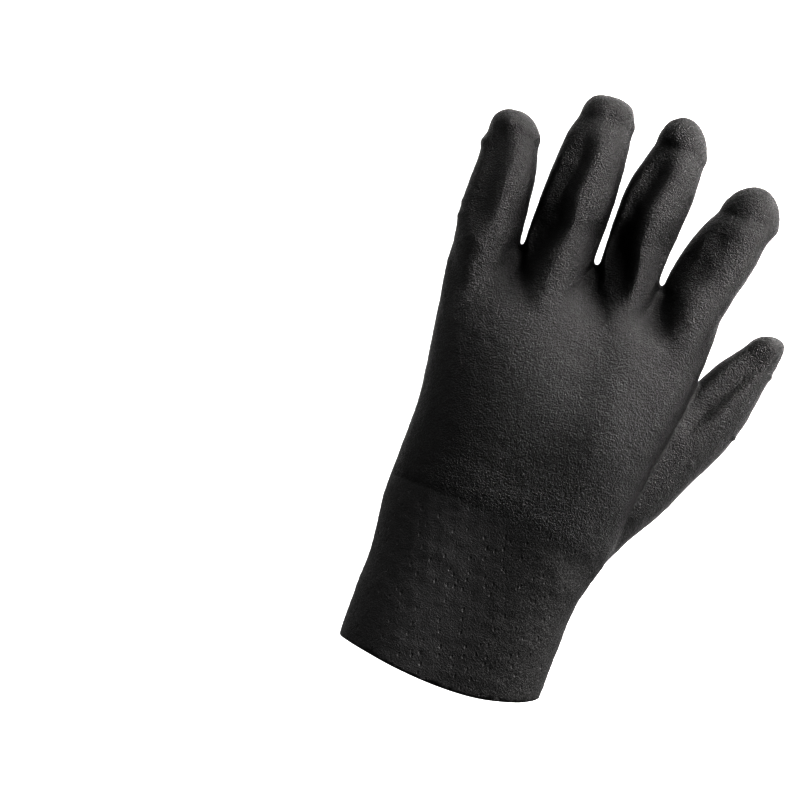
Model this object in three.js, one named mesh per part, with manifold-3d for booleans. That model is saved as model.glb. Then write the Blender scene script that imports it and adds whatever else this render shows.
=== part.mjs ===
// A left-hand dipped work glove, size 10, lying palm down as it rests by itself on a table.
// It is one moulded wall: cuff, hand, four fingers and thumb, open at the hem and hollow to the fingertips.
// Modelled with Y from the hem to the fingertips, X towards the thumb and Z up, in millimetres.
// At the end the origin moves to the middle of the glove's box, on the table.
import * as THREE from "three";
import { mergeVertices } from "three/addons/utils/BufferGeometryUtils.js";
import Module from "manifold-3d";

// Sizes that a maker would set.
const GLOVE_LENGTH = 254; // hem to the tips of the two long fingers
const HAND_WIDTH = 120; // across the knuckles
const HAND_HEIGHT = 50; // how high the back stands over the table
const WALL = 1.8; // coating and knit together
const HEM_BOW = 9; // how far the hem's top and underside reach past its sides
const HEM_SIDES = 3.4; // how far its sides stand back from the start of the length
const HEM_FADE = 50; // how far up the cuff both are felt
const MOUTH_RUN_OUT = 12; // how far the hollow runs past the hem, so that the cuff is open

// Facets of a section, space between sections, and rings of a rounded end.
const HAND_SIDES = 36;
const FINGER_SIDES = 18;
const HAND_STEP = 9;
const FINGER_STEP = 7.5;
const END_RINGS = 4;

// Each tube is a stack of sections across Y, and each row is one of them:
// [along, left, right, bottom, top, tilt], where along is a share of GLOVE_LENGTH,
// left and right are shares of HAND_WIDTH, bottom and top are shares of HAND_HEIGHT,
// and tilt is how far the section rises per length towards the thumb.
// square is the corner of the section (2 an ellipse, more is boxier) over the top and underneath.
// end is the rounded end past the last row: its length as a share of GLOVE_LENGTH, its corner,
// and how far it drifts sideways as a share of HAND_WIDTH.
const HAND = {
  sides: HAND_SIDES,
  step: HAND_STEP,
  squareTop: 2.4,
  squareUnder: 3,
  end: { length: 0.034, square: 2.6, drift: 0 },
  rows: [
    [0.0, -0.378, 0.362, -0.02, 0.87, 0.0],
    [0.08, -0.371, 0.375, -0.02, 0.87, 0.0],
    [0.17, -0.358, 0.395, -0.015, 0.873, 0.0],
    [0.26, -0.368, 0.456, -0.01, 0.89, 0.0],
    [0.34, -0.357, 0.486, 0.0, 0.945, 0.01],
    [0.43, -0.346, 0.518, 0.01, 1.0, 0.02],
    [0.51, -0.358, 0.553, 0.03, 0.98, 0.02],
    [0.6, -0.375, 0.585, 0.045, 0.89, 0.02],
    [0.66, -0.388, 0.598, 0.075, 0.74, 0.02],
    [0.69, -0.388, 0.6, 0.1, 0.62, 0.02],
  ],
};

const THUMB = {
  sides: FINGER_SIDES,
  step: FINGER_STEP,
  squareTop: 2.1,
  squareUnder: 2.3,
  end: { length: 0.028, square: 2, drift: 0.02 },
  rows: [
    [0.17, 0.05, 0.33, 0.1, 0.56, 0.0],
    [0.24, 0.14, 0.438, 0.05, 0.6, 0.0],
    [0.3, 0.23, 0.512, 0.0, 0.62, 0.0],
    [0.36, 0.3, 0.598, -0.01, 0.62, 0.0],
    [0.42, 0.36, 0.665, -0.01, 0.61, -0.05],
    [0.48, 0.445, 0.738, -0.01, 0.58, -0.1],
    [0.54, 0.53, 0.79, -0.01, 0.55, -0.12],
    [0.59, 0.59, 0.813, -0.01, 0.52, -0.12],
    [0.63, 0.645, 0.833, -0.01, 0.49, -0.12],
    [0.665, 0.712, 0.848, 0.0, 0.45, -0.1],
  ],
};

const LITTLE = {
  sides: FINGER_SIDES,
  step: FINGER_STEP,
  squareTop: 2.1,
  squareUnder: 2.2,
  end: { length: 0.038, square: 2.2, drift: -0.01 },
  rows: [
    [0.6, -0.34, -0.19, 0.15, 0.72, 0.0],
    [0.67, -0.374, -0.168, 0.11, 0.7, 0.0],
    [0.74, -0.396, -0.161, 0.085, 0.68, 0.03],
    [0.8, -0.393, -0.167, 0.04, 0.64, 0.05],
    [0.85, -0.385, -0.175, 0.01, 0.585, 0.05],
    [0.898, -0.379, -0.2, -0.01, 0.48, 0.05],
  ],
};

const RING = {
  sides: FINGER_SIDES,
  step: FINGER_STEP,
  squareTop: 2.1,
  squareUnder: 2.2,
  end: { length: 0.038, square: 2.7, drift: 0 },
  rows: [
    [0.6, -0.12, 0.09, 0.14, 0.86, 0.0],
    [0.67, -0.143, 0.108, 0.11, 0.82, 0.0],
    [0.74, -0.142, 0.111, 0.09, 0.75, 0.04],
    [0.82, -0.133, 0.121, 0.045, 0.68, 0.05],
    [0.88, -0.12, 0.122, 0.01, 0.61, 0.05],
    [0.93, -0.105, 0.118, -0.01, 0.51, 0.05],
    [0.96, -0.082, 0.11, -0.01, 0.42, 0.0],
  ],
};

const MIDDLE = {
  sides: FINGER_SIDES,
  step: FINGER_STEP,
  squareTop: 2.1,
  squareUnder: 2.2,
  end: { length: 0.05, square: 1.9, drift: -0.01 },
  rows: [
    [0.6, 0.14, 0.33, 0.14, 0.86, 0.0],
    [0.67, 0.133, 0.355, 0.11, 0.82, 0.0],
    [0.74, 0.134, 0.357, 0.09, 0.77, 0.04],
    [0.82, 0.14, 0.373, 0.045, 0.7, 0.06],
    [0.87, 0.15, 0.387, 0.02, 0.63, 0.06],
    [0.92, 0.182, 0.39, 0.0, 0.54, 0.1],
    [0.95, 0.205, 0.39, -0.01, 0.45, 0.08],
  ],
};

const INDEX = {
  sides: FINGER_SIDES,
  step: FINGER_STEP,
  squareTop: 2.1,
  squareUnder: 2.2,
  end: { length: 0.052, square: 1.9, drift: 0.01 },
  rows: [
    [0.6, 0.35, 0.57, 0.16, 0.8, 0.0],
    [0.68, 0.358, 0.592, 0.12, 0.78, 0.05],
    [0.74, 0.367, 0.626, 0.09, 0.72, 0.12],
    [0.79, 0.405, 0.658, 0.05, 0.66, 0.2],
    [0.84, 0.448, 0.682, 0.01, 0.58, 0.22],
    [0.87, 0.488, 0.702, -0.01, 0.5, 0.2],
  ],
};

// Dents of the upper side: a furrow is pressed down along a line.
// [fromX, fromAlong, toX, toAlong, reach, depth], X and reach as shares of HAND_WIDTH,
// along as a share of GLOVE_LENGTH, and depth as a share of HAND_HEIGHT.
const FURROWS = [
  [-0.32, 0.89, -0.325, 0.79, 0.06, 0.09],
  [-0.09, 0.88, -0.03, 0.74, 0.06, 0.09],
  [0.17, 0.92, 0.15, 0.76, 0.06, 0.09],
  [0.44, 0.78, 0.55, 0.88, 0.07, 0.09],
  [-0.14, 0.74, -0.03, 0.69, 0.09, 0.08],
  [0.42, 0.74, 0.37, 0.65, 0.07, 0.09],
  [0.7, 0.66, 0.6, 0.54, 0.07, 0.08],
  [0.46, 0.3, 0.4, 0.21, 0.07, 0.07],
];

const wasm = await Module();
wasm.setup();

// Reads a row between two rows of a table as a smooth curve through all of them.
function readRow(rows, along) {
  const last = rows.length - 1;
  if (along <= rows[0][0]) {
    return rows[0].slice(1);
  }
  if (along >= rows[last][0]) {
    return rows[last].slice(1);
  }
  let i = 0;
  while (rows[i + 1][0] < along) {
    i += 1;
  }
  const a = rows[Math.max(i - 1, 0)];
  const b = rows[i];
  const c = rows[i + 1];
  const d = rows[Math.min(i + 2, last)];
  const span = c[0] - b[0];
  const t = (along - b[0]) / span;
  const values = [];
  for (let column = 1; column < b.length; column += 1) {
    const slopeB = (span * (c[column] - a[column])) / (c[0] - a[0]);
    const slopeC = (span * (d[column] - b[column])) / (d[0] - b[0]);
    const rise = c[column] - b[column];
    const bend = 3 * rise - 2 * slopeB - slopeC;
    const turn = slopeB + slopeC - 2 * rise;
    values.push(b[column] + t * (slopeB + t * (bend + t * turn)));
  }
  return values;
}

// How far the furrows press down the point at x, y.
function furrowDepth(x, y) {
  let depth = 0;
  for (const [fromX, fromAlong, toX, toAlong, reach, deep] of FURROWS) {
    const startX = fromX * HAND_WIDTH;
    const startY = fromAlong * GLOVE_LENGTH;
    const runX = toX * HAND_WIDTH - startX;
    const runY = toAlong * GLOVE_LENGTH - startY;
    const share = ((x - startX) * runX + (y - startY) * runY) / (runX * runX + runY * runY);
    const held = Math.min(Math.max(share, 0), 1);
    const away = Math.hypot(x - startX - held * runX, y - startY - held * runY);
    const near = away / (reach * HAND_WIDTH);
    depth = Math.max(depth, deep * HAND_HEIGHT * Math.exp(-near * near));
  }
  return depth;
}

// One corner of a section: angle turns from the thumb side over the top.
function sectionPoint(tube, y, angle, inset, shrink, drift) {
  const [left, right, bottom, top, tilt] = readRow(tube.rows, y / GLOVE_LENGTH);
  const halfWidth = (0.5 * (right - left) * HAND_WIDTH - inset) * shrink;
  const halfHeight = (0.5 * (top - bottom) * HAND_HEIGHT - inset) * shrink;
  const middleX = 0.5 * (left + right) * HAND_WIDTH + drift;
  const middleZ = 0.5 * (bottom + top) * HAND_HEIGHT;
  const across = Math.cos(angle);
  const up = Math.sin(angle);
  const square = up > 0 ? tube.squareTop : tube.squareUnder;
  const acrossShare = Math.sign(across) * Math.abs(across) ** (2 / square);
  const upShare = Math.sign(up) * Math.abs(up) ** (2 / square);
  const x = middleX + halfWidth * acrossShare;
  let z = middleZ + halfHeight * upShare + tilt * halfWidth * acrossShare;
  z -= furrowDepth(x, y) * Math.max(upShare, 0);
  const fade = Math.min(Math.max(1 - y / HEM_FADE, 0), 1);
  const bow = (HEM_SIDES - HEM_BOW * up * up) * fade * fade;
  return [x, y + bow, Math.max(z, inset)];
}

// The rings of a tube, from its start to its rounded end, drawn inset from the outside by that much.
function tubeRings(tube, startY, inset) {
  const lastY = tube.rows[tube.rows.length - 1][0] * GLOVE_LENGTH;
  const endLength = tube.end.length * GLOVE_LENGTH - inset;
  const count = Math.ceil((lastY - startY) / tube.step);
  const stations = [];
  for (let i = 0; i <= count; i += 1) {
    stations.push([startY + ((lastY - startY) * i) / count, 0]);
  }
  for (let i = 1; i <= END_RINGS; i += 1) {
    const share = Math.sin((0.5 * Math.PI * i) / (END_RINGS + 0.6));
    stations.push([lastY + share * endLength, share]);
  }
  return stations.map(([y, share]) => {
    const shrink = (1 - share ** tube.end.square) ** (1 / tube.end.square);
    const drift = share * tube.end.drift * HAND_WIDTH;
    const ring = [];
    for (let j = 0; j < tube.sides; j += 1) {
      const angle = (2 * Math.PI * (j + 0.5)) / tube.sides;
      ring.push(sectionPoint(tube, y, angle, inset, shrink, drift));
    }
    return ring;
  });
}

// A closed solid from rings of equal count: bands between them and a fan over each end.
function solidFromRings(rings) {
  const sides = rings[0].length;
  const positions = rings.flat(2);
  const triangles = [];
  for (let i = 0; i + 1 < rings.length; i += 1) {
    for (let j = 0; j < sides; j += 1) {
      const a = i * sides + j;
      const b = i * sides + ((j + 1) % sides);
      const c = a + sides;
      const d = b + sides;
      triangles.push(a, d, b, a, c, d);
    }
  }
  for (const [first, turned] of [[0, true], [(rings.length - 1) * sides, false]]) {
    const middle = [0, 0, 0];
    for (let j = 0; j < sides; j += 1) {
      for (let k = 0; k < 3; k += 1) {
        middle[k] += positions[3 * (first + j) + k] / sides;
      }
    }
    const hub = positions.length / 3;
    positions.push(...middle);
    for (let j = 0; j < sides; j += 1) {
      const a = first + j;
      const b = first + ((j + 1) % sides);
      if (turned) {
        triangles.push(hub, a, b);
      } else {
        triangles.push(hub, b, a);
      }
    }
  }
  return new wasm.Manifold(
    new wasm.Mesh({
      numProp: 3,
      vertProperties: new Float32Array(positions),
      triVerts: new Uint32Array(triangles),
    }),
  );
}

// The hand, thumb and fingers as one body, drawn inset from the outside by that much.
function gloveBody(inset, handStart) {
  let body = solidFromRings(tubeRings(HAND, handStart, inset));
  for (const tube of [THUMB, LITTLE, RING, MIDDLE, INDEX]) {
    const startY = tube.rows[0][0] * GLOVE_LENGTH + inset;
    body = body.add(solidFromRings(tubeRings(tube, startY, inset)));
  }
  return body;
}

const shell = gloveBody(0, 0).subtract(gloveBody(WALL, -MOUTH_RUN_OUT));

// The solid as a three.js mesh, with the origin at the middle of its box on the table.
function meshFrom(solid, name, material) {
  const mesh = solid.getMesh();
  let geometry = new THREE.BufferGeometry();
  geometry.setAttribute("position", new THREE.BufferAttribute(mesh.vertProperties.slice(), mesh.numProp));
  geometry.setIndex(new THREE.BufferAttribute(mesh.triVerts.slice(), 1));
  geometry = mergeVertices(geometry, 1e-4);
  geometry.computeBoundingBox();
  const { min, max } = geometry.boundingBox;
  geometry.translate(-0.5 * (min.x + max.x), -0.5 * (min.y + max.y), -min.z);
  geometry.computeVertexNormals();
  const result = new THREE.Mesh(geometry, material);
  result.name = name;
  return result;
}

const coating = new THREE.MeshStandardMaterial({ color: 0x1b1b1c, roughness: 0.8, metalness: 0 });

const group = new THREE.Group();
group.name = "work_glove";
group.add(meshFrom(shell, "glove_shell", coating));

export default group;
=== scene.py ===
"""A dipped work glove lying palm down: its coated skin, folds, grain and hem, on a pale table in soft light.

The solids come from the frame, which the glove's skin takes its place from. Lengths are in metres.
The skin is modelled with Y from the hem to the fingertips, X towards the thumb and Z up, with the hem's
middle at the origin, and is then shifted to lie where the solid glove lies.
"""

import math

import bmesh
import bpy
import numpy as np
from mathutils import Matrix, Vector


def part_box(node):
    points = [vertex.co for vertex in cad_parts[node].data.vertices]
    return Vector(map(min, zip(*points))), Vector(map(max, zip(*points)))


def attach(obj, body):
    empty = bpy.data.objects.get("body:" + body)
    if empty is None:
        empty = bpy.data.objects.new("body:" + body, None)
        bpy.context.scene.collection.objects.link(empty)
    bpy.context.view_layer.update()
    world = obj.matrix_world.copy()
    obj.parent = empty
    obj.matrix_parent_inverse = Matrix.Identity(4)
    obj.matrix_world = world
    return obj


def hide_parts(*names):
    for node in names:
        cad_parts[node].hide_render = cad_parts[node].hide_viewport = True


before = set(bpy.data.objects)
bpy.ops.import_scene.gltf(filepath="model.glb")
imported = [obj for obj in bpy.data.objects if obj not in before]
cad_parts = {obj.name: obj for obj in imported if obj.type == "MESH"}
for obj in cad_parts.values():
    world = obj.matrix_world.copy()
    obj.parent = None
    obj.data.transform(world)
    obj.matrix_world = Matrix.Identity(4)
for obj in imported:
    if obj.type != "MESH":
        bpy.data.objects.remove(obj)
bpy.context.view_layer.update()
GLOVE_NODE = "glove_shell"

bl_info = {
    "name": "Dipped work glove",
    "version": (1, 0, 0),
    "blender": (4, 5, 0),
    "location": "3D View > Sidebar > Glove",
    "description": "Builds a dipped work glove with its folds, grain and hem",
    "category": "Add Mesh",
}

MM = 0.001

# Sections of the tubes that the glove is joined from, across Y:
# [along, left, right, bottom, top, tilt], where along is a share of the glove's length,
# left and right are shares of the hand's width, bottom and top are shares of its height,
# and tilt is the rise per length towards the thumb.
# corner is the section's squareness over the top and underneath (2 is an ellipse).
# end is the rounded end: its share of the glove's length, its squareness, and its drift
# sideways as a share of the hand's width.
HAND = {
    "corner": (2.4, 3.0),
    "end": (0.026, 2.6, 0.0),
    "rows": (
        (0.0, -0.378, 0.362, -0.02, 0.87, 0.0),
        (0.08, -0.371, 0.375, -0.02, 0.87, 0.0),
        (0.17, -0.358, 0.395, -0.015, 0.873, 0.0),
        (0.26, -0.368, 0.456, -0.01, 0.89, 0.0),
        (0.34, -0.357, 0.486, 0.0, 0.945, 0.01),
        (0.43, -0.346, 0.518, 0.01, 1.0, 0.02),
        (0.51, -0.358, 0.553, 0.03, 0.98, 0.02),
        (0.6, -0.375, 0.585, 0.045, 0.89, 0.02),
        (0.66, -0.388, 0.598, 0.075, 0.74, 0.02),
        (0.69, -0.388, 0.6, 0.1, 0.62, 0.02),
    ),
}
THUMB = {
    "corner": (2.1, 2.3),
    "end": (0.024, 2.0, 0.02),
    "rows": (
        (0.17, 0.05, 0.33, 0.1, 0.56, 0.0),
        (0.24, 0.14, 0.438, 0.05, 0.6, 0.0),
        (0.3, 0.23, 0.512, 0.0, 0.62, 0.0),
        (0.36, 0.3, 0.598, -0.01, 0.62, 0.0),
        (0.42, 0.36, 0.665, -0.01, 0.61, -0.05),
        (0.48, 0.445, 0.738, -0.01, 0.58, -0.1),
        (0.54, 0.53, 0.79, -0.01, 0.55, -0.12),
        (0.59, 0.59, 0.813, -0.01, 0.52, -0.12),
        (0.63, 0.645, 0.833, -0.01, 0.49, -0.12),
        (0.665, 0.712, 0.848, 0.0, 0.45, -0.1),
    ),
}
LITTLE = {
    "corner": (2.1, 2.2),
    "end": (0.033, 2.2, -0.01),
    "rows": (
        (0.6, -0.34, -0.19, 0.15, 0.72, 0.0),
        (0.67, -0.374, -0.168, 0.11, 0.7, 0.0),
        (0.74, -0.396, -0.161, 0.085, 0.68, 0.03),
        (0.8, -0.393, -0.167, 0.04, 0.64, 0.05),
        (0.85, -0.385, -0.175, 0.01, 0.585, 0.05),
        (0.898, -0.379, -0.2, -0.01, 0.48, 0.05),
    ),
}
RING = {
    "corner": (2.1, 2.2),
    "end": (0.038, 2.7, 0.0),
    "rows": (
        (0.6, -0.12, 0.09, 0.14, 0.86, 0.0),
        (0.67, -0.143, 0.108, 0.11, 0.82, 0.0),
        (0.74, -0.142, 0.111, 0.09, 0.75, 0.04),
        (0.82, -0.133, 0.121, 0.045, 0.68, 0.05),
        (0.88, -0.12, 0.122, 0.01, 0.61, 0.05),
        (0.93, -0.105, 0.118, -0.01, 0.51, 0.05),
        (0.96, -0.082, 0.11, -0.01, 0.42, 0.0),
    ),
}
MIDDLE = {
    "corner": (2.1, 2.2),
    "end": (0.05, 1.9, -0.01),
    "rows": (
        (0.6, 0.14, 0.33, 0.14, 0.86, 0.0),
        (0.67, 0.133, 0.355, 0.11, 0.82, 0.0),
        (0.74, 0.134, 0.351, 0.09, 0.77, 0.04),
        (0.82, 0.14, 0.373, 0.045, 0.7, 0.06),
        (0.87, 0.15, 0.387, 0.02, 0.63, 0.06),
        (0.92, 0.182, 0.39, 0.0, 0.54, 0.1),
        (0.95, 0.205, 0.39, -0.01, 0.45, 0.08),
    ),
}
INDEX = {
    "corner": (2.1, 2.2),
    "end": (0.052, 1.9, 0.01),
    "rows": (
        (0.6, 0.35, 0.57, 0.16, 0.8, 0.0),
        (0.68, 0.362, 0.592, 0.12, 0.78, 0.05),
        (0.74, 0.378, 0.626, 0.09, 0.72, 0.12),
        (0.79, 0.405, 0.658, 0.05, 0.66, 0.2),
        (0.84, 0.448, 0.682, 0.01, 0.58, 0.22),
        (0.87, 0.488, 0.702, -0.01, 0.5, 0.2),
    ),
}

# Creases pressed into the upper side along a line of points (x, y) in shares of the hand's width and
# the glove's length: (depth, reach to the left, reach to the right, points), the first three
# as shares of the hand's height, width and width. A short reach on one side is a steep wall there.
CREASES = (
    (0.07, 0.050, 0.045, ((-0.335, 0.92), (-0.330, 0.86), (-0.330, 0.79), (-0.325, 0.70))),
    (
        0.10, 0.055, 0.036,
        ((-0.030, 0.97), (-0.045, 0.88), (-0.068, 0.825), (-0.057, 0.77), (-0.090, 0.73), (-0.13, 0.68)),
    ),
    (
        0.11, 0.050, 0.036,
        ((0.255, 0.98), (0.235, 0.90), (0.195, 0.84), (0.185, 0.78), (0.215, 0.73), (0.240, 0.64)),
    ),
    (0.05, 0.080, 0.050, ((0.450, 0.71), (0.495, 0.79), (0.545, 0.86))),
    (0.08, 0.085, 0.100, ((-0.150, 0.82), (-0.145, 0.74), (-0.100, 0.62))),
    (0.11, 0.085, 0.110, ((0.120, 0.82), (0.130, 0.73), (0.180, 0.62))),
    (0.09, 0.085, 0.090, ((0.375, 0.84), (0.360, 0.74), (0.345, 0.60))),
    (0.08, 0.060, 0.030, ((0.83, 0.69), (0.76, 0.64), (0.66, 0.56), (0.56, 0.48))),
    (0.04, 0.100, 0.080, ((0.50, 0.34), (0.42, 0.26), (0.33, 0.19))),
)

# Beads and nubs pushed out along the skin: (height, reach, x, y), the first three as shares of the
# hand's width and y as a share of the glove's length.
BEADS = (
    (0.012, 0.024, -0.386, 0.871),
    (0.009, 0.026, -0.203, 0.900),
    (0.011, 0.024, 0.119, 0.962),
    (0.006, 0.024, 0.390, 0.944),
    (0.009, 0.030, 0.698, 0.862),
    (0.005, 0.020, 0.845, 0.690),
    (0.004, 0.010, -0.394, 0.740),
    (0.003, 0.009, -0.398, 0.765),
    (0.005, 0.012, 0.640, 0.450),
    (0.007, 0.008, 0.763, 0.513),
    (0.005, 0.010, 0.828, 0.627),
)

# Broad swells of the back of the hand: (height, reach across, reach along, x, y), height as a share
# of the hand's height, the reach along and y of the glove's length, and the rest of the hand's width.
SWELLS = (
    (0.05, 0.20, 0.10, -0.02, 0.56),
    (0.05, 0.09, 0.12, 0.30, 0.50),
    (-0.05, 0.10, 0.08, 0.19, 0.60),
    (-0.04, 0.16, 0.07, -0.24, 0.66),
)

# The hem's line as it runs round the mouth: how far it reaches past the origin, as a share of the
# hem's bow, at equal turns from the thumb side over the top.
HEM_LINE = (-0.17, 0.02, 0.35, 0.60, 0.56, 0.32, -0.04, -0.29, -0.39, -0.25, 0.0, 0.15, 0.20, 0.20, 0.15, 0.0)

# How finely the tubes are laid out before they are joined: points round a ring, steps in a rounded
# end, and the distance between rings. The rough ones serve to find a tube's far corner.
RING_POINTS = 96
END_RINGS = 16
RING_STEP = 1.5 * MM
ROUGH_POINTS = 48
ROUGH_STEP = 3 * MM

# Where the hand's tube starts, past the hem that it is cut at, as a share of the glove's length.
PAST_HEM = -0.06

# Where the fingers' roots are smoothed: along Y from the first to the last share of the glove's length,
# fading over ROOT_FADE, and upwards from a share of the hand's height over another share.
ROOTS_FIRST, ROOTS_LAST, ROOT_FADE = 0.55, 0.75, 0.05
ROOTS_LOW, ROOTS_RISE = 0.08, 0.3
ROOT_LEVELS = 8
ALL_ROUNDS, ROOT_ROUNDS = 16, 60

# The hem: vertices nearer to the cut than HEM_NEAR are merged where they are closer than HEM_MERGE,
# faces beside the cut that face along Y more than HEM_FOLDED are folded, and the edge and the
# vertices beside it are evened so many times.
HEM_NEAR = 0.4 * MM
HEM_MERGE = 0.35 * MM
HEM_FOLDED = 0.6
RIM_ROUNDS, BESIDE_ROUNDS = 8, 4

# A crease fades out over this share of its length at both ends.
CREASE_FADE = 0.3

# Soft lumps all over the coating: (length of the waves, share of the lump height, seed).
LUMPS = ((9 * MM, 1.0, 1), (4 * MM, 0.8, 2))

# The cuff's finish, from the hem's middle in metres: where the dimpled cuff fades in along Y, the edge along
# Y of the cuff's side with painted light, where that painted light fades in across X, and how far both lines
# fall per length towards the thumb.
CUFF_FADE = (0.0790, 0.0660)
CUFF_PAINTED_LIGHT_EDGE = (0.0716, 0.0704)
CUFF_PAINTED_LIGHT_SIDE = (0.022, -0.022)
CUFF_FALL = 0.09

# Sizes of the coating's patterns: sandy grain, soft lumps, mottle, the cuff's dimples across and
# along the hand, and the distance between specks of lint.
SAND_SIZE = 0.78 * MM
LUMP_SIZE = 2.6 * MM
MOTTLE_SIZE = 9 * MM
DIMPLE_SIZE = (3 * MM, 5 * MM)
LINT_SIZE = 7 * MM

# The relief's shares: sandy grain and soft lumps on the hand, sandy grain and dimples on the cuff.
HAND_SAND, HAND_LUMPS = 0.75, 0.3
CUFF_SAND, CUFF_DIMPLES = 0.35, 0.22

# The grain darkens and lightens the coating between these multiples of its colour.
GRAIN_TONES = (0.1, 4.0)

# The coating's roughness on the crests and in the hollows of the grain, what the mottle adds, and
# what the matter cuff adds.
CREST_GLOSS, HOLLOW_GLOSS = 0.26, 0.50
MOTTLE_GLOSS, CUFF_GLOSS = 0.08, 0.28

# Sizes of the knit's ribs, loops and fuzz, the depth of its relief, and how dark the painted shade in its
# hollows is.
RIB_SIZE, LOOP_SIZE, FUZZ_SIZE = 9.0 * MM, 7.0 * MM, 0.6 * MM
KNIT_DEPTH = 0.3 * MM
KNIT_PAINTED_SHADE = 0.6

# The lamps: (name, place, size, watts), placed from the middle of the table in metres.
LAMPS = (
    ("key", (0.85, 1.0, 1.3), 0.5, 22),
    ("tips", (0.65, 1.3, 0.34), 0.7, 70),
    ("right", (1.25, 0.46, 0.42), 0.4, 38),
    ("left_rim", (-1.0, 0.1, 0.12), 0.2, 3),
)


def read_rows(rows, along):
    """Cubic curve through a table's rows, with each row's slope that of the chord between its neighbours."""
    table = np.array(rows)
    keys = table[:, 0]
    along = np.clip(along, keys[0], keys[-1])
    i = np.clip(np.searchsorted(keys, along, side="right") - 1, 0, len(keys) - 2)
    before = np.maximum(i - 1, 0)
    after = np.minimum(i + 2, len(keys) - 1)
    span = (keys[i + 1] - keys[i])[:, None]
    t = (along - keys[i])[:, None] / span
    rise = table[i + 1] - table[i]
    slope_in = span * (table[i + 1] - table[before]) / (keys[i + 1] - keys[before])[:, None]
    slope_out = span * (table[after] - table[i]) / (keys[after] - keys[i])[:, None]
    bend = 3 * rise - 2 * slope_in - slope_out
    turn = slope_in + slope_out - 2 * rise
    return (table[i] + t * (slope_in + t * (bend + t * turn)))[:, 1:]


def tube_points(tube, shape, first_y, sides, step):
    """Grid of a tube: each ring is a superellipse |x/a|^n + |z/b|^n = 1 whose sides come from the table.

    Past the last row the rings shrink as (1 - s^m)^(1/m), with s from 0 to 1 along the rounded end.
    """
    end_share, end_corner, drift = tube["end"]
    last_y = tube["rows"][-1][0] * shape.glove_length
    body_y = np.linspace(first_y, last_y, max(2, int((last_y - first_y) / step)))
    share = np.sin(np.linspace(0, 0.5 * np.pi, END_RINGS))[1:-1]
    y = np.concatenate([body_y, last_y + share * (end_share * shape.glove_length + shape.tip_loss)])
    share = np.concatenate([np.zeros_like(body_y), share])
    shrink = (1 - share**end_corner) ** (1 / end_corner)
    left, right, bottom, top, tilt = read_rows(tube["rows"], y / shape.glove_length).T
    half_x = 0.5 * (right - left) * shape.hand_width * shrink
    half_z = 0.5 * (top - bottom) * shape.hand_height * shrink
    mid_x = (0.5 * (left + right) + drift * share) * shape.hand_width
    mid_z = 0.5 * (bottom + top) * shape.hand_height
    angle = (np.arange(sides) + 0.5) * 2 * np.pi / sides
    across, up = np.cos(angle), np.sin(angle)
    power = 2 / np.where(up > 0, *tube["corner"])
    across = np.sign(across) * np.abs(across) ** power
    up = np.sign(up) * np.abs(up) ** power
    x = mid_x[:, None] + half_x[:, None] * across
    z = mid_z[:, None] + half_z[:, None] * up + (tilt * half_x)[:, None] * across
    return np.stack([x, np.broadcast_to(y[:, None], x.shape), z], axis=-1)


def closed_tube(points):
    """Faces of a grid of rings: quads between rings and a fan to a middle point over each end."""
    rings, sides, _ = points.shape
    ring = np.arange(rings - 1)[:, None] * sides
    side = np.arange(sides)[None, :]
    after = (side + 1) % sides
    quads = np.stack([ring + side, ring + side + sides, ring + after + sides, ring + after], axis=-1)
    hubs = points[[0, -1]].mean(axis=1)
    first_hub = rings * sides
    side, after = side[0], after[0]
    start = np.stack([np.full(sides, first_hub), side, after], axis=-1)
    last = (rings - 1) * sides
    end = np.stack([np.full(sides, first_hub + 1), last + after, last + side], axis=-1)
    vertices = np.concatenate([points.reshape(-1, 3), hubs])
    return vertices, quads.reshape(-1, 4).tolist() + start.tolist() + end.tolist()


def object_from(name, vertices, faces):
    """A mesh object at the origin from arrays of vertices and faces."""
    mesh = bpy.data.meshes.new(name)
    mesh.from_pydata(vertices.tolist(), [], faces)
    mesh.update()
    made = bpy.data.objects.new(name, mesh)
    bpy.context.collection.objects.link(made)
    return made


def settle(made):
    """Takes an object's modifiers into its mesh."""
    depsgraph = bpy.context.evaluated_depsgraph_get()
    mesh = bpy.data.meshes.new_from_object(made.evaluated_get(depsgraph))
    made.modifiers.clear()
    old = made.data
    made.data = mesh
    bpy.data.meshes.remove(old)


def mesh_arrays(mesh):
    """The places and normals of a mesh's vertices."""
    count = len(mesh.vertices)
    places = np.empty(count * 3, np.float32)
    normals = np.empty(count * 3, np.float32)
    mesh.vertices.foreach_get("co", places)
    mesh.vertices.foreach_get("normal", normals)
    return places.reshape(-1, 3).astype(float), normals.reshape(-1, 3).astype(float)


def put_places(mesh, places):
    """Writes vertex places back to a mesh."""
    mesh.vertices.foreach_set("co", places.astype(np.float32).ravel())
    mesh.update()


def beside_line(x, y, points):
    """Distance from x, y to a line of points, negative on its left as it is walked towards the hem.

    The second array says how far along the line the nearest point lies, from 0 to 1.
    """
    best = np.full(x.shape, np.inf)
    signed = np.zeros(x.shape)
    along = np.zeros(x.shape)
    walked = 0.0
    for (x0, y0), (x1, y1) in zip(points[:-1], points[1:]):
        run_x, run_y = x1 - x0, y1 - y0
        length = math.hypot(run_x, run_y)
        share = np.clip(((x - x0) * run_x + (y - y0) * run_y) / length**2, 0, 1)
        off_x, off_y = x - x0 - share * run_x, y - y0 - share * run_y
        away = np.hypot(off_x, off_y)
        nearer = away < best
        best = np.where(nearer, away, best)
        signed = np.where(nearer, np.sign(run_x * off_y - run_y * off_x) * away, signed)
        along = np.where(nearer, walked + share * length, along)
        walked += length
    return signed, along / walked


def smooth_step(value):
    """Soft step from 0 at 0 to 1 at 1."""
    value = np.clip(value, 0, 1)
    return value * value * (3 - 2 * value)


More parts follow.
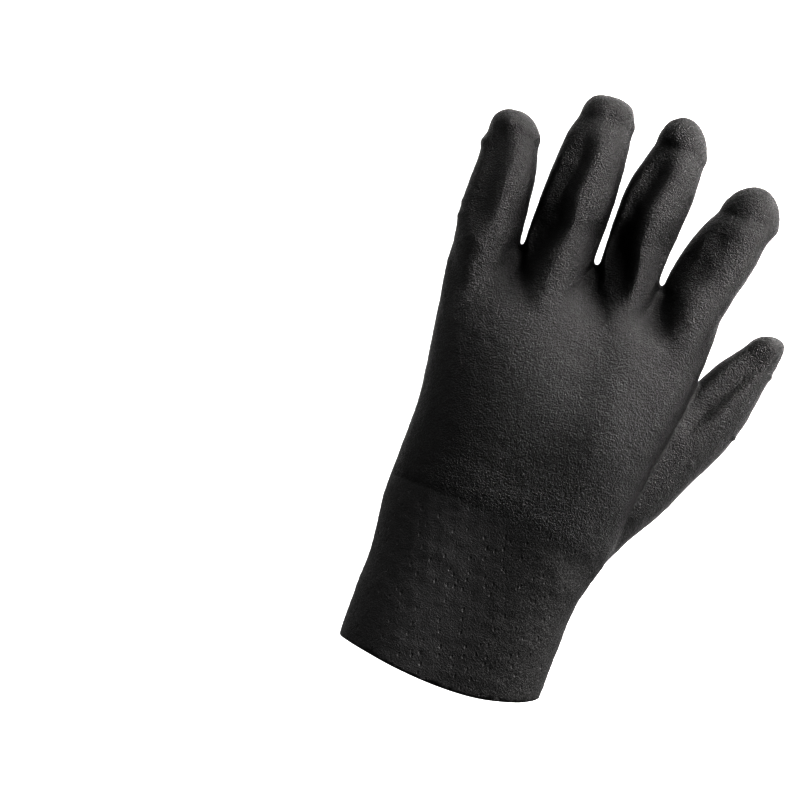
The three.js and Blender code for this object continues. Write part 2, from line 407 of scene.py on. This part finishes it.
def waves(places, length, seed, count=24):
    """Soft noise between about -1 and 1: a sum of sine waves of one length in random directions."""
    random = np.random.default_rng(seed)
    direction = random.normal(size=(count, 3))
    direction /= np.linalg.norm(direction, axis=1, keepdims=True)
    stretch = random.uniform(0.7, 1.4, count)
    phase = random.uniform(0, 2 * np.pi, count)
    angle = places @ (direction * (2 * np.pi / length) * stretch[:, None]).T + phase
    return np.sin(angle).sum(axis=1) / math.sqrt(count)


def periodic(values, turn):
    """Cubic curve through values at equal turns, where turn runs from 0 to 1 and round again."""
    values = np.array(values)
    count = len(values)
    place = (turn % 1) * count
    i = np.floor(place).astype(int)
    t = place - i
    a, b, c, d = (values[(i + k) % count] for k in (-1, 0, 1, 2))
    return b + 0.5 * t * (c - a + t * (2 * a - 5 * b + 4 * c - d + t * (3 * (b - c) + d - a)))


class Wiring:
    """Adds nodes to a material and joins them."""

    def __init__(self, name):
        self.material = bpy.data.materials.new(name)
        self.material.use_nodes = True
        self.tree = self.material.node_tree
        self.tree.nodes.clear()

    def add(self, kind, inputs=None, **settings):
        """Adds a node, sets it, and joins or fills its inputs."""
        node = self.tree.nodes.new(kind)
        for key, value in settings.items():
            setattr(node, key, value)
        for key, value in (inputs or {}).items():
            if isinstance(value, bpy.types.NodeSocket):
                self.tree.links.new(value, node.inputs[key])
            else:
                node.inputs[key].default_value = value
        return node

    def math(self, operation, a, b):
        """One sum or product of two values."""
        return self.add("ShaderNodeMath", {0: a, 1: b}, operation=operation).outputs[0]

    def blend(self, share, low, high):
        """A value between low and high."""
        return self.add("ShaderNodeMix", {0: share, 2: low, 3: high}, data_type="FLOAT").outputs[0]

    def tint(self, share, under, over):
        """A colour between under and over, which are three numbers or a socket each."""
        mix = self.add("ShaderNodeMix", {0: share}, data_type="RGBA")
        for socket, colour in ((mix.inputs[6], under), (mix.inputs[7], over)):
            if isinstance(colour, bpy.types.NodeSocket):
                self.tree.links.new(colour, socket)
            else:
                socket.default_value = tuple(colour) + (1,)
        return mix.outputs[2]

    def ramp(self, value, low, high, start=0.0, end=1.0):
        """Smooth step of value from start at low to end at high."""
        inputs = {"Value": value, "From Min": low, "From Max": high, "To Min": start, "To Max": end}
        return self.add("ShaderNodeMapRange", inputs, interpolation_type="SMOOTHSTEP").outputs[0]

    def noise(self, place, size, detail=2.0, roughness=0.5):
        """Noise whose lumps are about size across."""
        inputs = {"Vector": place, "Scale": 1 / size, "Detail": detail, "Roughness": roughness}
        return self.add("ShaderNodeTexNoise", inputs, noise_dimensions="3D").outputs["Fac"]

    def finish(self, shader):
        """Joins the shader to the material's output."""
        self.add("ShaderNodeOutputMaterial", {"Surface": shader.outputs[0]})
        return self.material


def scaled(colour, factor):
    """A colour made darker or lighter by a factor."""
    return tuple(part * factor for part in colour)


def coating_material(settings, shift):
    """Matt dipped coating: sandy grain over the hand and short dimples along the cuff, near black, with
    painted light on the cuff's side away from the thumb.
    """
    w = Wiring("dipped_coating")
    place = w.add("ShaderNodeTexCoord").outputs["Object"]
    raw = w.add("ShaderNodeVectorMath", {0: place, 1: tuple(shift)}, operation="ADD").outputs[0]
    split = w.add("ShaderNodeSeparateXYZ", {0: raw})
    x, y = split.outputs[0], split.outputs[1]
    line = w.math("ADD", y, w.math("MULTIPLY", x, CUFF_FALL))
    cuff = w.ramp(line, *CUFF_FADE)
    # Painted light: the cuff's side away from the thumb, below a line near the wrist, is painted a lighter
    # grey, and the rest of the cuff stays dark as if in shade.
    step = w.math("MULTIPLY", w.ramp(line, *CUFF_PAINTED_LIGHT_EDGE), w.ramp(x, *CUFF_PAINTED_LIGHT_SIDE))
    sand = w.noise(place, SAND_SIZE, 3.0, 0.75)
    lumps = w.noise(place, LUMP_SIZE, 2.0, 0.5)
    across, along = DIMPLE_SIZE
    cells = {"Vector": place, "Rotation": (0, 0, 0.1), "Scale": (1 / across, 1 / along, 1 / across)}
    stretched = w.add("ShaderNodeMapping", cells).outputs[0]
    dimples = w.add("ShaderNodeTexVoronoi", {"Vector": stretched, "Scale": 1.0, "Randomness": 0.8})
    dashes = w.ramp(dimples.outputs["Distance"], 0.08, 0.24)
    grain = w.math("ADD", w.math("MULTIPLY", sand, HAND_SAND), w.math("MULTIPLY", lumps, HAND_LUMPS))
    dimpled = w.math("ADD", w.math("MULTIPLY", sand, CUFF_SAND), w.math("MULTIPLY", dashes, CUFF_DIMPLES))
    relief = w.blend(cuff, grain, dimpled)
    bump = w.add("ShaderNodeBump", {"Strength": 1.0, "Distance": settings.grain_depth, "Height": relief})
    mottle = w.noise(place, MOTTLE_SIZE, 3.0, 0.6)
    dark, light = (scaled(settings.coat_color, factor) for factor in GRAIN_TONES)
    tone = w.tint(w.ramp(sand, 0.42, 0.62), dark, light)
    lint = w.add("ShaderNodeTexVoronoi", {"Vector": place, "Scale": 1 / LINT_SIZE, "Randomness": 1.0})
    speck = w.ramp(lint.outputs["Distance"], 0.032, 0.02)
    colour = w.tint(speck, w.tint(step, tone, settings.cuff_painted_light_color), settings.lint_color)
    gloss = w.ramp(sand, 0.60, 0.40, CREST_GLOSS, HOLLOW_GLOSS)
    gloss = w.math("ADD", gloss, w.math("MULTIPLY", mottle, MOTTLE_GLOSS))
    gloss = w.math("ADD", gloss, w.math("MULTIPLY", cuff, CUFF_GLOSS))
    look = {"Base Color": colour, "Roughness": gloss, "Normal": bump.outputs[0]}
    shader = w.add("ShaderNodeBsdfPrincipled", look)
    shader.inputs["Specular IOR Level"].default_value = 0.5
    return w.finish(shader)


def knit_material(settings):
    """The inside: an interlock knit with fine ribs along the hand, with painted shade in its hollows."""
    w = Wiring("knit_inside")
    place = w.add("ShaderNodeTexCoord").outputs["Object"]
    rib_waves = {"Vector": place, "Scale": 1 / RIB_SIZE, "Distortion": 1.5}
    ribs = w.add("ShaderNodeTexWave", rib_waves, bands_direction="X").outputs["Fac"]
    loop_waves = {"Vector": place, "Scale": 1 / LOOP_SIZE, "Distortion": 2.0}
    loops = w.add("ShaderNodeTexWave", loop_waves, bands_direction="Y").outputs["Fac"]
    fuzz = w.noise(place, FUZZ_SIZE, 3.0, 0.7)
    relief = w.math("ADD", w.math("MULTIPLY", ribs, loops), w.math("MULTIPLY", fuzz, 0.5))
    bump = w.add("ShaderNodeBump", {"Strength": 0.8, "Distance": KNIT_DEPTH, "Height": relief})
    # Painted shade: the knit's colour darkens where its relief is low, in the hollows.
    tone = w.tint(relief, scaled(settings.knit_color, KNIT_PAINTED_SHADE), settings.knit_color)
    look = {"Base Color": tone, "Roughness": 0.9, "Normal": bump.outputs[0]}
    return w.finish(w.add("ShaderNodeBsdfPrincipled", look))


class GloveShape(bpy.types.PropertyGroup):
    """The glove's sizes."""

    glove_length: bpy.props.FloatProperty(
        name="Glove length", description="From the hem to the tips of the long fingers", default=0.254,
        unit="LENGTH",
    )
    hand_width: bpy.props.FloatProperty(
        name="Hand width", description="Across the knuckles", default=0.120, unit="LENGTH"
    )
    hand_height: bpy.props.FloatProperty(
        name="Hand height", description="How high the back stands over the table", default=0.050,
        unit="LENGTH",
    )
    wall: bpy.props.FloatProperty(
        name="Wall", description="Coating and knit together", default=0.0018, unit="LENGTH"
    )
    hem_bow: bpy.props.FloatProperty(
        name="Hem bow", description="How far the hem bows out over the top", default=0.0092,
        unit="LENGTH",
    )
    hem_fade: bpy.props.FloatProperty(
        name="Hem fade", description="How far up the cuff the bow is felt", default=0.040, unit="LENGTH"
    )
    tip_loss: bpy.props.FloatProperty(
        name="Tip loss", description="Length that smoothing takes off a tip, added first", default=0.0016,
        unit="LENGTH",
    )
    skin_step: bpy.props.FloatProperty(
        name="Skin step", description="Spacing of the skin before it is thinned", default=0.00075,
        unit="LENGTH",
    )
    skin_faces: bpy.props.IntProperty(
        name="Skin faces", description="Triangles that are kept on the outside", default=92000, min=1000
    )
    lump_height: bpy.props.FloatProperty(
        name="Lump height", description="Height of the coating's soft lumps", default=0.00007, unit="LENGTH"
    )


class GloveFinish(bpy.types.PropertyGroup):
    """The glove's colours and grain."""

    coat_color: bpy.props.FloatVectorProperty(
        name="Coating", description="Colour of the coating", subtype="COLOR",
        default=(0.0022, 0.0022, 0.0023),
    )
    # Painted light: the lighter grey of the cuff's side away from the thumb.
    cuff_painted_light_color: bpy.props.FloatVectorProperty(
        name="Cuff", description="Colour of the cuff's lighter side", subtype="COLOR",
        default=(0.042, 0.042, 0.043),
    )
    lint_color: bpy.props.FloatVectorProperty(
        name="Lint", description="Colour of the specks of lint", subtype="COLOR",
        default=(0.16, 0.16, 0.16),
    )
    knit_color: bpy.props.FloatVectorProperty(
        name="Knit", description="Colour of the knit inside", subtype="COLOR",
        default=(0.075, 0.072, 0.068),
    )
    grain_depth: bpy.props.FloatProperty(
        name="Grain depth", description="Depth of the coating's grain", default=0.0011, unit="LENGTH"
    )


class GloveStage(bpy.types.PropertyGroup):
    """The table, the lights and where the camera stands."""

    floor_color: bpy.props.FloatVectorProperty(
        name="Table", description="Colour of the table", subtype="COLOR", default=(0.30, 0.30, 0.30)
    )
    floor_glow: bpy.props.FloatProperty(
        name="Table glow", description="How brightly the table is lit from below", default=0.80
    )
    exposure: bpy.props.FloatProperty(name="Exposure", description="Stops added to the picture", default=0.7)
    contrast: bpy.props.FloatProperty(
        name="Contrast", description="Gamma of the picture: below 1 deepens its darks", default=0.50
    )
    camera_height: bpy.props.FloatProperty(
        name="Camera height", description="Over the middle of the glove's thickness", default=2.5,
        unit="LENGTH",
    )
    glove_level: bpy.props.FloatProperty(
        name="Glove level", description="Middle of the glove's thickness", default=0.025, unit="LENGTH"
    )
    view_width: bpy.props.FloatProperty(
        name="View width", description="Width that the view takes in at the glove's level", default=0.3386,
        unit="LENGTH",
    )
    view_across: bpy.props.FloatProperty(
        name="View across", description="The view's middle, from the hem's middle towards the thumb",
        default=-0.0489, unit="LENGTH",
    )
    view_along: bpy.props.FloatProperty(
        name="View along", description="The view's middle, from the hem's middle towards the fingers",
        default=0.1056, unit="LENGTH",
    )
    lamp_color: bpy.props.FloatVectorProperty(
        name="Lamps", description="Colour of the lamps' light", subtype="COLOR", default=(1.0, 0.98, 0.97)
    )
    haze: bpy.props.FloatProperty(name="Haze", description="Brightness of the room all round", default=0.015)
    view_turn: bpy.props.FloatProperty(
        name="View turn", description="How far the fingers lean to the right", default=math.radians(16.5),
        subtype="ANGLE",
    )


def glove_shift(shape):
    """How far the skin moves from the hem's middle to where the solid glove lies, by their far corners."""
    far = np.full(3, -np.inf)
    for tube in (THUMB, RING, MIDDLE):
        first_y = tube["rows"][0][0] * shape.glove_length
        points = tube_points(tube, shape, first_y, ROUGH_POINTS, ROUGH_STEP)
        far = np.maximum(far, points.reshape(-1, 3).max(axis=0))
    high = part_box(GLOVE_NODE)[1]
    return np.array([far[0] - high.x, far[1] - shape.tip_loss - high.y, 0.0])


class GLOVE_OT_skin(bpy.types.Operator):
    """Builds the coated skin: hand, fingers and thumb joined, creased, cut at the hem and given a wall"""

    bl_idname = "work_glove.skin"
    bl_label = "Glove skin"

    def execute(self, context):
        scene = context.scene
        shape = scene.glove_shape
        skin = self.joined_tubes(shape)
        self.cut_hem(skin, shape)
        self.crease(skin.data, shape)
        shift = glove_shift(shape)
        places, _ = mesh_arrays(skin.data)
        put_places(skin.data, places - shift)
        self.give_wall(skin, shape)
        skin.data.materials.append(coating_material(scene.glove_finish, shift))
        skin.data.materials.append(knit_material(scene.glove_finish))
        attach(skin, "root")
        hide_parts(GLOVE_NODE)
        return {"FINISHED"}

    def joined_tubes(self, shape):
        """The tubes merged into one skin on a fine grid, with their roots smoothed together."""
        vertices, faces, count = [], [], 0
        for tube in (HAND, THUMB, LITTLE, RING, MIDDLE, INDEX):
            first_share = PAST_HEM if tube is HAND else tube["rows"][0][0]
            grid = tube_points(tube, shape, first_share * shape.glove_length, RING_POINTS, RING_STEP)
            points, tube_faces = closed_tube(grid)
            vertices.append(points)
            faces += [[corner + count for corner in face] for face in tube_faces]
            count += len(points)
        skin = object_from("glove_skin", np.concatenate(vertices), faces)
        merge = skin.modifiers.new("one_skin", "REMESH")
        merge.mode = "VOXEL"
        merge.voxel_size = shape.skin_step
        smooth = skin.modifiers.new("roots", "SMOOTH")
        smooth.factor = 0.5
        smooth.iterations = ALL_ROUNDS
        settle(skin)
        self.soften_roots(skin, shape)
        return skin

    def soften_roots(self, skin, shape):
        """Smooths the upper side where the fingers grow out of the hand."""
        places, _ = mesh_arrays(skin.data)
        along = places[:, 1] / shape.glove_length
        up = places[:, 2] / shape.hand_height
        near = smooth_step((along - ROOTS_FIRST) / ROOT_FADE) * smooth_step((ROOTS_LAST - along) / ROOT_FADE)
        near *= smooth_step((up - ROOTS_LOW) / ROOTS_RISE)
        group = skin.vertex_groups.new(name="finger_roots")
        for level in range(1, ROOT_LEVELS + 1):
            chosen = np.flatnonzero(np.round(near * ROOT_LEVELS) == level)
            group.add(chosen.tolist(), level / ROOT_LEVELS, "REPLACE")
        soft = skin.modifiers.new("soft_roots", "SMOOTH")
        soft.factor = 0.5
        soft.iterations = ROOT_ROUNDS
        soft.vertex_group = group.name
        settle(skin)

    def cut_hem(self, skin, shape):
        """Cuts the skin across the mouth, then lets the hem bow out along its line."""
        cut = bmesh.new()
        cut.from_mesh(skin.data)
        everything = cut.verts[:] + cut.edges[:] + cut.faces[:]
        bmesh.ops.bisect_plane(
            cut, geom=everything, plane_co=(0, 0, 0), plane_no=(0, 1, 0), clear_inner=True
        )
        edge = [vertex for vertex in cut.verts if vertex.co.y < HEM_NEAR]
        bmesh.ops.remove_doubles(cut, verts=edge, dist=HEM_MERGE)
        for vertex in cut.verts:
            if vertex.is_boundary:
                vertex.co.y = 0
        cut.to_mesh(skin.data)
        cut.free()
        places, _ = mesh_arrays(skin.data)
        left, right, bottom, top, _ = HAND["rows"][0][1:]
        mid_x = 0.5 * (left + right) * shape.hand_width
        mid_z = 0.5 * (bottom + top) * shape.hand_height
        half_x = 0.5 * (right - left) * shape.hand_width
        half_z = 0.5 * (top - bottom) * shape.hand_height
        up, across = (places[:, 2] - mid_z) / half_z, (places[:, 0] - mid_x) / half_x
        turn = np.arctan2(up, across) / (2 * np.pi)
        fade = np.clip(1 - places[:, 1] / shape.hem_fade, 0, 1) ** 2
        places[:, 1] -= shape.hem_bow * periodic(HEM_LINE, turn) * fade
        put_places(skin.data, places)

    def crease(self, mesh, shape):
        """Presses the creases into the upper side, and raises the coating's soft lumps along the normals."""
        places, normals = mesh_arrays(mesh)
        x, y = places[:, 0], places[:, 1]
        upper = smooth_step(normals[:, 2] * 1.4)
        press = np.zeros(len(x))
        for depth, left, right, points in CREASES:
            line = [(px * shape.hand_width, py * shape.glove_length) for px, py in points]
            away, along = beside_line(x, y, line)
            reach = np.where(away < 0, left, right) * shape.hand_width
            ends = smooth_step(along / CREASE_FADE) * smooth_step((1 - along) / CREASE_FADE)
            press += depth * shape.hand_height * np.exp(-((away / reach) ** 2)) * ends
        for height, across, length, at_x, at_y in SWELLS:
            off_x = (x / shape.hand_width - at_x) / across
            off_y = (y / shape.glove_length - at_y) / length
            press -= height * shape.hand_height * np.exp(-(off_x**2) - off_y**2)
        places[:, 2] -= press * upper
        bead = np.zeros(len(x))
        for height, reach, at_x, at_y in BEADS:
            away = np.hypot(x - at_x * shape.hand_width, y - at_y * shape.glove_length)
            bead += height * shape.hand_width * np.exp(-((away / (reach * shape.hand_width)) ** 2))
        lumps = sum(share * waves(places, length, seed) for length, share, seed in LUMPS)
        places += normals * (bead + lumps * shape.lump_height)[:, None]
        put_places(mesh, places)

    def give_wall(self, skin, shape):
        """Thins the skin, rests it on the table and gives it its wall inwards."""
        places, _ = mesh_arrays(skin.data)
        places[:, 2] = np.maximum(places[:, 2], 0)
        put_places(skin.data, places)
        thin = skin.modifiers.new("thin", "DECIMATE")
        thin.ratio = min(1, shape.skin_faces / (2 * len(skin.data.polygons)))
        settle(skin)
        self.even_hem(skin.data)
        skin.data.shade_smooth()
        wall = skin.modifiers.new("wall", "SOLIDIFY")
        wall.thickness = shape.wall
        wall.offset = -1
        wall.use_quality_normals = True
        wall.material_offset = 1
        wall.material_offset_rim = 0

    def even_hem(self, mesh):
        """Takes folded faces off the hem, evens its edge along itself, and smooths the corners beside it."""
        hem = bmesh.new()
        hem.from_mesh(mesh)
        hem.normal_update()
        at_edge = [face for face in hem.faces if any(vertex.is_boundary for vertex in face.verts)]
        folded = [face for face in at_edge if abs(face.normal.y) > HEM_FOLDED]
        bmesh.ops.delete(hem, geom=folded, context="FACES")
        rim = [vertex for vertex in hem.verts if vertex.is_boundary]
        beside = {edge.other_vert(vertex) for vertex in rim for edge in vertex.link_edges}.difference(rim)
        for _ in range(RIM_ROUNDS):
            middles = []
            for vertex in rim:
                ends = [edge.other_vert(vertex).co for edge in vertex.link_edges if edge.is_boundary]
                middles.append((ends[0] + ends[1]) / 2)
            for vertex, middle in zip(rim, middles):
                vertex.co = (vertex.co + middle) / 2
        for _ in range(BESIDE_ROUNDS):
            bmesh.ops.smooth_vert(
                hem, verts=list(beside), factor=0.5, use_axis_x=True, use_axis_y=True, use_axis_z=True
            )
        hem.to_mesh(mesh)
        hem.free()


class GLOVE_OT_stage(bpy.types.Operator):
    """Sets the pale table, the lights and the camera"""

    bl_idname = "work_glove.stage"
    bl_label = "Table, light and camera"

    def execute(self, context):
        scene = context.scene
        stage = scene.glove_stage
        self.table(stage)
        self.lights(scene, stage)
        self.camera(scene, stage, glove_shift(scene.glove_shape))
        return {"FINISHED"}

    def table(self, stage):
        """A pale plane that glows, so that the picture's ground is white."""
        half = 6.0
        corners = np.array([(-half, -half, 0), (half, -half, 0), (half, half, 0), (-half, half, 0)])
        table = object_from("table", corners, [[0, 1, 2, 3]])
        w = Wiring("pale_table")
        place = w.add("ShaderNodeTexCoord").outputs["Object"]
        mottle = w.noise(place, 0.05, 2.0)
        paint = w.add("ShaderNodeBsdfPrincipled", {"Roughness": w.blend(mottle, 0.75, 0.85)})
        paint.inputs["Base Color"].default_value = tuple(stage.floor_color) + (1,)
        paint.inputs["Emission Color"].default_value = (1, 1, 1, 1)
        paint.inputs["Emission Strength"].default_value = stage.floor_glow
        table.data.materials.append(w.finish(paint))

    def lights(self, scene, stage):
        """The room's haze, how the picture is shown, and the lamps."""
        world = bpy.data.worlds.new("studio")
        world.use_nodes = True
        back = world.node_tree.nodes["Background"]
        back.inputs[0].default_value = (1, 1, 1, 1)
        back.inputs[1].default_value = stage.haze
        scene.world = world
        scene.view_settings.view_transform = "Standard"
        scene.view_settings.exposure = stage.exposure
        scene.view_settings.gamma = stage.contrast
        for name, place, size, power in LAMPS:
            self.lamp(name, place, size, power, stage.lamp_color)

    def lamp(self, name, place, size, power, colour):
        """A square lamp that looks at the glove."""
        light = bpy.data.lights.new(name, "AREA")
        light.energy = power
        light.color = colour
        light.size = size
        lamp = bpy.data.objects.new(name, light)
        lamp.location = place
        lamp.rotation_euler = (-Vector(place)).to_track_quat("-Z", "Y").to_euler()
        bpy.context.collection.objects.link(lamp)

    def camera(self, scene, stage, shift):
        """Looks straight down, turned so that the fingers lean to the right."""
        data = bpy.data.cameras.new("camera")
        camera = bpy.data.objects.new("camera", data)
        data.lens = data.sensor_width * stage.camera_height / stage.view_width
        data.clip_end = 20
        turn = Matrix.Rotation(stage.view_turn, 4, "Z")
        place = Vector((stage.view_across - shift[0], stage.view_along - shift[1], 0))
        place.z = stage.glove_level + stage.camera_height
        camera.matrix_world = Matrix.Translation(place) @ turn
        bpy.context.collection.objects.link(camera)
        scene.camera = camera


class GLOVE_PT_panel(bpy.types.Panel):
    """Lists the glove's pieces and sizes"""

    bl_idname = "GLOVE_PT_panel"
    bl_label = "Work glove"
    bl_space_type = "VIEW_3D"
    bl_region_type = "UI"
    bl_category = "Glove"

    def draw(self, context):
        for settings in (context.scene.glove_shape, context.scene.glove_finish, context.scene.glove_stage):
            for key in settings.__annotations__:
                self.layout.prop(settings, key)
        for operator in OPERATORS:
            self.layout.operator(operator.bl_idname)


OPERATORS = (GLOVE_OT_skin, GLOVE_OT_stage)
CLASSES = (GloveShape, GloveFinish, GloveStage, *OPERATORS, GLOVE_PT_panel)


def register():
    for cls in CLASSES:
        bpy.utils.register_class(cls)
    bpy.types.Scene.glove_shape = bpy.props.PointerProperty(type=GloveShape)
    bpy.types.Scene.glove_finish = bpy.props.PointerProperty(type=GloveFinish)
    bpy.types.Scene.glove_stage = bpy.props.PointerProperty(type=GloveStage)


def unregister():
    del bpy.types.Scene.glove_stage
    del bpy.types.Scene.glove_finish
    del bpy.types.Scene.glove_shape
    for cls in reversed(CLASSES):
        bpy.utils.unregister_class(cls)


def main():
    """Builds the pieces in order."""
    register()
    bpy.ops.work_glove.skin()
    bpy.ops.work_glove.stage()


if __name__ == "__main__":
    main()
